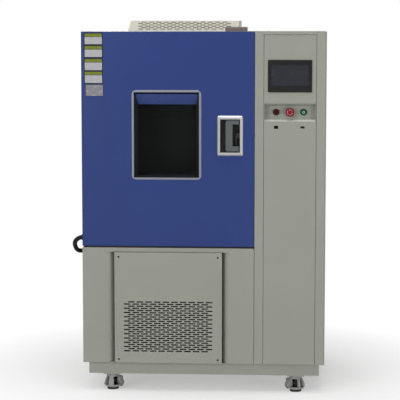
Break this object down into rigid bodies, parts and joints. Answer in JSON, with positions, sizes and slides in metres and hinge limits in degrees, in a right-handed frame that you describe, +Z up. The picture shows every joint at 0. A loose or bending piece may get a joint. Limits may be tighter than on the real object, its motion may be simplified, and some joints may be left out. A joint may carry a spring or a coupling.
{
  "type": "environmental test chamber",
  "caption": "Upright insulated test chamber with a hinged window door, control column, slotted machine grille and levelling castors.",
  "frame": {"origin": "on the floor, under the middle of the whole chamber's box", "axes": "+Z up, the door and the control column face -Y, +X is to the right as seen from the front"},
  "size_m": [1.1778, 1.024, 1.719],
  "materials": {
    "cabinet_paint": "satin",
    "hood_paint": "satin",
    "door_paint": "satin",
    "lamp_hood_paint": "satin",
    "stainless": "satin",
    "foam": "matte",
    "window_trim": "satin",
    "handle_metal": "satin",
    "grip_paint": "satin",
    "hinge_paint": "satin",
    "latch_steel": "satin",
    "glass": "gloss",
    "seal": "matte",
    "dark_plastic": "matte",
    "screen_case": "satin",
    "screen_glass": "gloss",
    "lamp_red": "gloss",
    "stop_red": "satin",
    "start_green": "gloss",
    "conduit": "matte",
    "machine_black": "satin",
    "coil_metal": "satin",
    "fan_metal": "satin",
    "electrics": "matte",
    "castor_metal": "satin",
    "castor_wheel": "satin",
    "castor_pad": "matte"
  },
  "bodies": {
    "cabinet": {"air_baffle": "stainless", "alarm_lamp": "lamp_red", "base_frame": "cabinet_paint", "button_bezels": "dark_plastic", "button_tray": "cabinet_paint", "cabinet_hinge_leaves": "hinge_paint", "cable_glands": "dark_plastic", "chamber_liner": "stainless", "circulation_motor": "machine_black", "column_front_panels": "cabinet_paint", "column_posts": "cabinet_paint", "compressor": "machine_black", "condenser_coil": "coil_metal", "condenser_fan_mount": "machine_black", "door_wiring_conduit": "conduit", "electrical_plate": "electrics", "evaporator_and_heater": "coil_metal", "grille_panel": "cabinet_paint", "hmi_housing": "screen_case", "hmi_screen": "screen_glass", "insulation": "foam", "lower_front_frame": "cabinet_paint", "rear_panels": "cabinet_paint", "roof_and_deck_panels": "cabinet_paint", "roof_junction_box": "hood_paint", "service_sockets": "dark_plastic", "shelf_rails": "stainless", "side_panel_grip": "dark_plastic", "side_panels": "cabinet_paint", "vent_hood": "hood_paint", "wire_shelves": "stainless"},
    "door": {"door_skin": "door_paint", "door_pan": "stainless", "door_insulation": "foam", "door_gasket": "seal", "window_frame": "window_trim", "lamp_hood": "lamp_hood_paint", "window_glass": "glass", "handle_frame": "handle_metal", "door_hinge_leaves": "hinge_paint", "door_conduit_gland": "dark_plastic"},
    "handle_grip": {"handle_grip": "grip_paint"},
    "latch_tongue": {"latch_tongue": "latch_steel"},
    "stop_plunger": {"stop_plunger": "dark_plastic"},
    "stop_head": {"stop_head": "stop_red"},
    "start_button": {"start_button": "start_green"},
    "circulation_fan": {"circulation_fan": "fan_metal"},
    "condenser_fan": {"condenser_fan": "fan_metal"},
    "castor_front_left": {"castor_housing_front_left": "castor_metal"},
    "wheel_front_left": {"castor_wheel_front_left": "castor_wheel"},
    "pad_front_left": {"castor_pad_front_left": "castor_pad"},
    "castor_front_right": {"castor_housing_front_right": "castor_metal"},
    "wheel_front_right": {"castor_wheel_front_right": "castor_wheel"},
    "pad_front_right": {"castor_pad_front_right": "castor_pad"},
    "castor_rear_left": {"castor_housing_rear_left": "castor_metal"},
    "wheel_rear_left": {"castor_wheel_rear_left": "castor_wheel"},
    "pad_rear_left": {"castor_pad_rear_left": "castor_pad"},
    "castor_rear_right": {"castor_housing_rear_right": "castor_metal"},
    "wheel_rear_right": {"castor_wheel_rear_right": "castor_wheel"},
    "pad_rear_right": {"castor_pad_rear_right": "castor_pad"}
  },
  "joints": [
    {"name": "door_swing", "type": "hinge", "parent": "cabinet", "child": "door", "pos_m": [-0.56, -0.427, 1.17], "axis": [0, 0, -1], "range_deg": [0, 115], "deforming": ["door_wiring_conduit"]},
    {"name": "grip_pull", "type": "hinge", "parent": "door", "child": "handle_grip", "pos_m": [0.1625, -0.501, 1.19], "axis": [0, 0, 1], "range_deg": [0, 35], "stiffness_Nm_per_rad": 0.8},
    {"name": "latch_slide", "type": "slide", "parent": "door", "child": "latch_tongue", "axis": [-1, 0, 0], "range_m": [0, 0.0135]},
    {"name": "stop_push", "type": "slide", "parent": "cabinet", "child": "stop_plunger", "axis": [0, 1, 0], "range_m": [0, 0.0045], "stiffness_N_per_m": 400},
    {"name": "stop_turn", "type": "hinge", "parent": "stop_plunger", "child": "stop_head", "pos_m": [0.3985, -0.492, 1.302], "axis": [0, 1, 0], "range_deg": [0, 30], "stiffness_Nm_per_rad": 0.03},
    {"name": "start_push", "type": "slide", "parent": "cabinet", "child": "start_button", "axis": [0, 1, 0], "range_m": [0, 0.003], "stiffness_N_per_m": 300},
    {"name": "circulation_fan_spin", "type": "hinge", "parent": "cabinet", "child": "circulation_fan", "pos_m": [-0.159, 0.2, 1.4], "axis": [0, 1, 0], "continuous": true},
    {"name": "condenser_fan_spin", "type": "hinge", "parent": "cabinet", "child": "condenser_fan", "pos_m": [-0.158, -0.34, 0.31], "axis": [0, 1, 0], "continuous": true},
    {"name": "castor_swivel_front_left", "type": "hinge", "parent": "cabinet", "child": "castor_front_left", "pos_m": [-0.4235, -0.44, 0.07], "axis": [0, 0, 1], "continuous": true},
    {"name": "wheel_roll_front_left", "type": "hinge", "parent": "castor_front_left", "child": "wheel_front_left", "pos_m": [-0.39393, -0.40476, 0.022], "axis": [-0.766, 0.6428, 0], "continuous": true},
    {"name": "pad_screw_front_left", "type": "slide", "parent": "cabinet", "child": "pad_front_left", "axis": [0, 0, 1], "range_m": [0, 0.008]},
    {"name": "castor_swivel_front_right", "type": "hinge", "parent": "cabinet", "child": "castor_front_right", "pos_m": [0.4325, -0.44, 0.07], "axis": [0, 0, 1], "continuous": true},
    {"name": "wheel_roll_front_right", "type": "hinge", "parent": "castor_front_right", "child": "wheel_front_right", "pos_m": [0.39997, -0.40747, 0.022], "axis": [-0.7071, -0.7071, 0], "continuous": true},
    {"name": "pad_screw_front_right", "type": "slide", "parent": "cabinet", "child": "pad_front_right", "axis": [0, 0, 1], "range_m": [0, 0.008]},
    {"name": "castor_swivel_rear_left", "type": "hinge", "parent": "cabinet", "child": "castor_rear_left", "pos_m": [-0.4235, 0.41, 0.07], "axis": [0, 0, 1], "continuous": true},
    {"name": "wheel_roll_rear_left", "type": "hinge", "parent": "castor_rear_left", "child": "wheel_rear_left", "pos_m": [-0.39393, 0.44524, 0.022], "axis": [-0.766, 0.6428, 0], "continuous": true},
    {"name": "pad_screw_rear_left", "type": "slide", "parent": "cabinet", "child": "pad_rear_left", "axis": [0, 0, 1], "range_m": [0, 0.008]},
    {"name": "castor_swivel_rear_right", "type": "hinge", "parent": "cabinet", "child": "castor_rear_right", "pos_m": [0.4325, 0.41, 0.07], "axis": [0, 0, 1], "continuous": true},
    {"name": "wheel_roll_rear_right", "type": "hinge", "parent": "castor_rear_right", "child": "wheel_rear_right", "pos_m": [0.39997, 0.44253, 0.022], "axis": [-0.7071, -0.7071, 0], "continuous": true},
    {"name": "pad_screw_rear_right", "type": "slide", "parent": "cabinet", "child": "pad_rear_right", "axis": [0, 0, 1], "range_m": [0, 0.008]}
  ],
  "couplings": [
    {"joint": "latch_slide", "follows": "grip_pull", "m_per_rad": 0.021}
  ]
}
